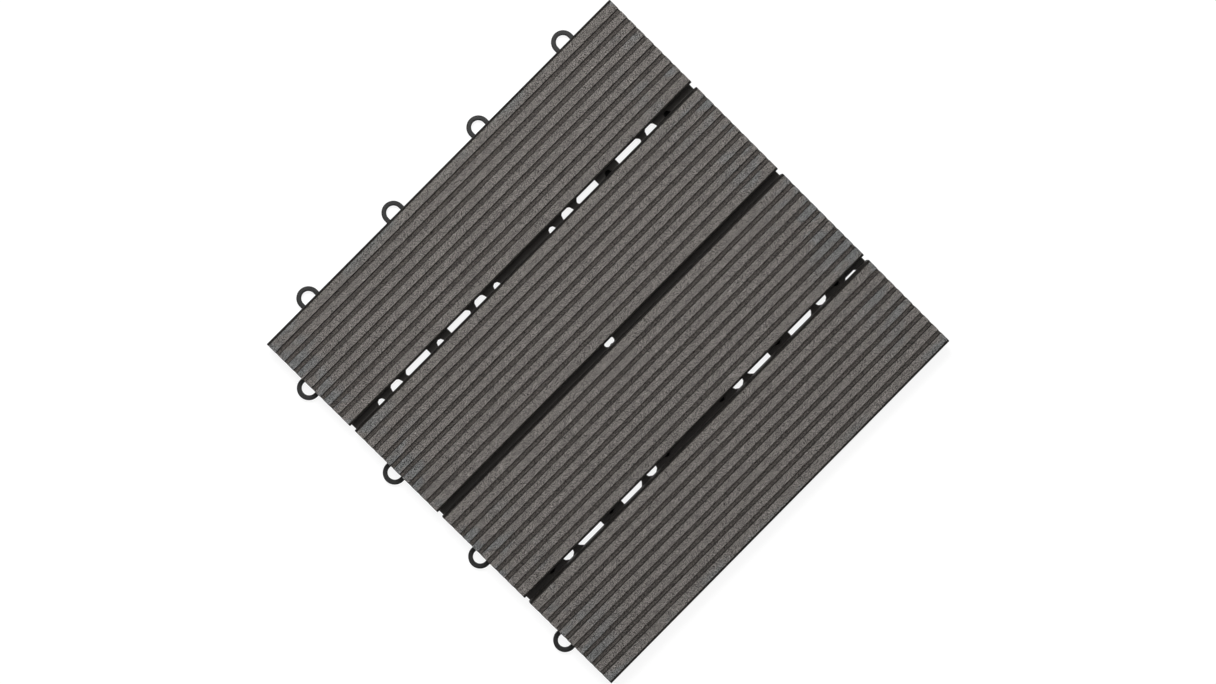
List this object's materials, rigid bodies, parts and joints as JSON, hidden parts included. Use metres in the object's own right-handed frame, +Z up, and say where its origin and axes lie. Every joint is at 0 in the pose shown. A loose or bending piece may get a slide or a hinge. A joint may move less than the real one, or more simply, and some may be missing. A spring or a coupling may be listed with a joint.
{
  "type": "interlocking deck tile",
  "caption": "Square outdoor floor tile of grooved grey composite slats on a black moulded lattice base, with round coupling loops on two sides and pins under the other two.",
  "frame": {"origin": "on the floor plane, under the middle of the whole tile's bounding box, its coupling loops included", "axes": "+X along the slats, away from the end that has loops; +Y across the slats, towards the other side that has loops; +Z up"},
  "size_m": [0.3096, 0.3096, 0.022],
  "materials": {
    "slat_composite": "matt brushed wood-plastic composite, warm dark grey",
    "base_plastic": "black moulded polypropylene, slightly satin",
    "screw_steel": "bright stainless steel"
  },
  "bodies": {
    "root": {"base_grid": "base_plastic", "slat_1": "slat_composite", "slat_2": "slat_composite", "slat_3": "slat_composite", "slat_4": "slat_composite", "screw_1_1": "screw_steel", "screw_1_2": "screw_steel", "screw_1_3": "screw_steel", "screw_1_4": "screw_steel", "screw_2_1": "screw_steel", "screw_2_2": "screw_steel", "screw_2_3": "screw_steel", "screw_2_4": "screw_steel", "screw_3_1": "screw_steel", "screw_3_2": "screw_steel", "screw_3_3": "screw_steel", "screw_3_4": "screw_steel", "screw_4_1": "screw_steel", "screw_4_2": "screw_steel", "screw_4_3": "screw_steel", "screw_4_4": "screw_steel"}
  },
  "joints": []
}
